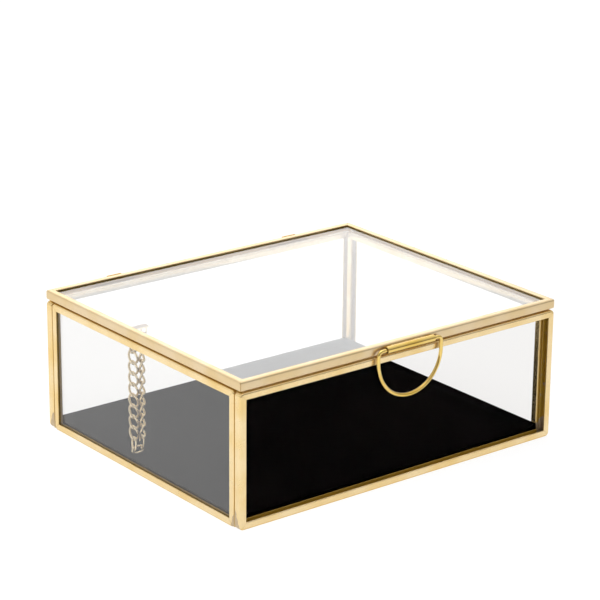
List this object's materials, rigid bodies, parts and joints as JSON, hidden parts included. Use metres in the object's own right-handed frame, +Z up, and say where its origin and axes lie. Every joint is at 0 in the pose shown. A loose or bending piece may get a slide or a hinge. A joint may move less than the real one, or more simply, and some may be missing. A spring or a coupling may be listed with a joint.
{
  "type": "jewelry box",
  "caption": "Glass jewelry box in a brass channel frame, with a hinged glass lid, a drop ring pull, a stay chain inside and a velvet-lined base.",
  "frame": {"origin": "middle of the underside, on the surface the box stands on", "axes": "+X right along the front, as seen from in front, +Y from the front with the ring pull to the back with the hinges, +Z up"},
  "size_m": [0.18, 0.1565, 0.0675],
  "materials": {
    "brushed_brass": "brushed",
    "polished_brass": "polished",
    "pin_brass": "satin",
    "chain_brass": "polished",
    "solder": "satin",
    "clear_glass": "polished",
    "board": "matte",
    "black_velvet": "velvet",
    "black_felt": "matte"
  },
  "bodies": {
    "case": {"front_pane": "clear_glass", "back_pane": "clear_glass", "left_pane": "clear_glass", "right_pane": "clear_glass", "front_bottom_channel": "brushed_brass", "front_top_channel": "brushed_brass", "front_left_channel": "brushed_brass", "front_right_channel": "brushed_brass", "back_bottom_channel": "brushed_brass", "back_top_channel": "brushed_brass", "back_left_channel": "brushed_brass", "back_right_channel": "brushed_brass", "left_bottom_channel": "brushed_brass", "left_top_channel": "brushed_brass", "left_front_channel": "brushed_brass", "left_back_channel": "brushed_brass", "right_bottom_channel": "brushed_brass", "right_top_channel": "brushed_brass", "right_front_channel": "brushed_brass", "right_back_channel": "brushed_brass", "corner_solder": "solder", "base_board": "board", "velvet_lining": "black_velvet", "underside_felt": "black_felt", "hinge_case_leaves": "brushed_brass", "hinge_pins": "pin_brass", "chain_case_eye": "brushed_brass"},
    "lid": {"lid_pane": "clear_glass", "lid_front_channel": "brushed_brass", "lid_back_channel": "brushed_brass", "lid_left_channel": "brushed_brass", "lid_right_channel": "brushed_brass", "hinge_lid_leaves": "brushed_brass", "handle_tube": "brushed_brass", "chain_lid_eye": "brushed_brass"},
    "ring": {"pull_ring": "polished_brass"},
    "chain_case_strand": {"chain_link_01": "chain_brass", "chain_link_02": "chain_brass", "chain_link_03": "chain_brass", "chain_link_04": "chain_brass", "chain_link_05": "chain_brass", "chain_link_06": "chain_brass", "chain_link_07": "chain_brass", "chain_link_08": "chain_brass", "chain_link_09": "chain_brass", "chain_link_10": "chain_brass"},
    "chain_cross_link": {"chain_link_11": "chain_brass"},
    "chain_lid_strand": {"chain_link_12": "chain_brass", "chain_link_13": "chain_brass", "chain_link_14": "chain_brass", "chain_link_15": "chain_brass", "chain_link_16": "chain_brass", "chain_link_17": "chain_brass", "chain_link_18": "chain_brass", "chain_link_19": "chain_brass", "chain_link_20": "chain_brass", "chain_link_21": "chain_brass"}
  },
  "joints": [
    {"name": "lid_hinge", "type": "hinge", "parent": "case", "child": "lid", "pos_m": [0, 0.07665, 0.06265], "axis": [-1, 0, 0], "range_deg": [0, 112.19]},
    {"name": "handle_swing", "type": "hinge", "parent": "lid", "child": "ring", "pos_m": [0.0012, -0.07665, 0.06525], "axis": [-1, 0, 0], "range_deg": [0, 190]},
    {"name": "chain_case_swing", "type": "hinge", "parent": "case", "child": "chain_case_strand", "pos_m": [-0.0831, 0.0116, 0.0593], "axis": [0.9988, -0.0485, 0], "range_deg": [0, 126.82]},
    {"name": "chain_cross_turn", "type": "hinge", "parent": "chain_case_strand", "child": "chain_cross_link", "pos_m": [-0.0831, 0.0116, 0.0073], "axis": [0, 1, 0], "range_deg": [0, 90]},
    {"name": "chain_lid_swing", "type": "hinge", "parent": "lid", "child": "chain_lid_strand", "pos_m": [-0.0789, 0.0116, 0.0593], "axis": [0.999, 0.0453, 0], "range_deg": [0, 59.07]}
  ],
  "couplings": [
    {"joint": "chain_case_swing", "follows": "lid_hinge", "ratio": 1.1305},
    {"joint": "chain_cross_turn", "follows": "lid_hinge", "ratio": 0.80224},
    {"joint": "chain_lid_swing", "follows": "lid_hinge", "ratio": 0.52651}
  ]
}
